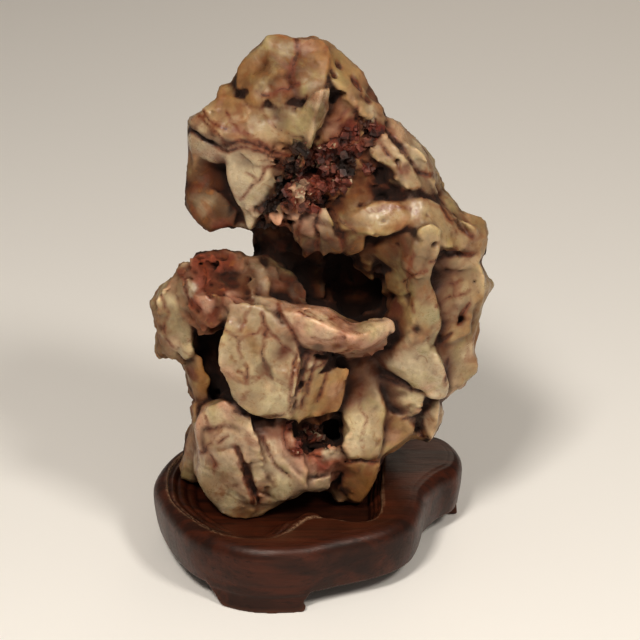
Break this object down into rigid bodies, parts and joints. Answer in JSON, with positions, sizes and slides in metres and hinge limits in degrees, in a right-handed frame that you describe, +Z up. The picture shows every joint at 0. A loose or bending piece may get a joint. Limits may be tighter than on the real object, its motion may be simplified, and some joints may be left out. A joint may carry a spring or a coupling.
{
  "type": "scholar's rock on a wooden stand",
  "caption": "Upright scholar's rock of weathered cream, pink and brown stone with a deep side cave, resting in the sunk seat of a lobed dark hardwood stand.",
  "frame": {"origin": "centre of the footprint, on the surface the stand rests on", "axes": "+Z up, -Y towards the side the stone is shown from, +X to that viewer's right"},
  "size_m": [0.1377, 0.1022, 0.2222],
  "materials": {
    "weathered_stone": "semi-polished cream, tan and pink stone with brown veins and rough red-brown hollows",
    "dark_hardwood": "dark reddish-brown hardwood, rubbed to a soft gloss"
  },
  "bodies": {
    "root": {"scholars_rock": "weathered_stone", "wooden_stand": "dark_hardwood"}
  },
  "joints": []
}
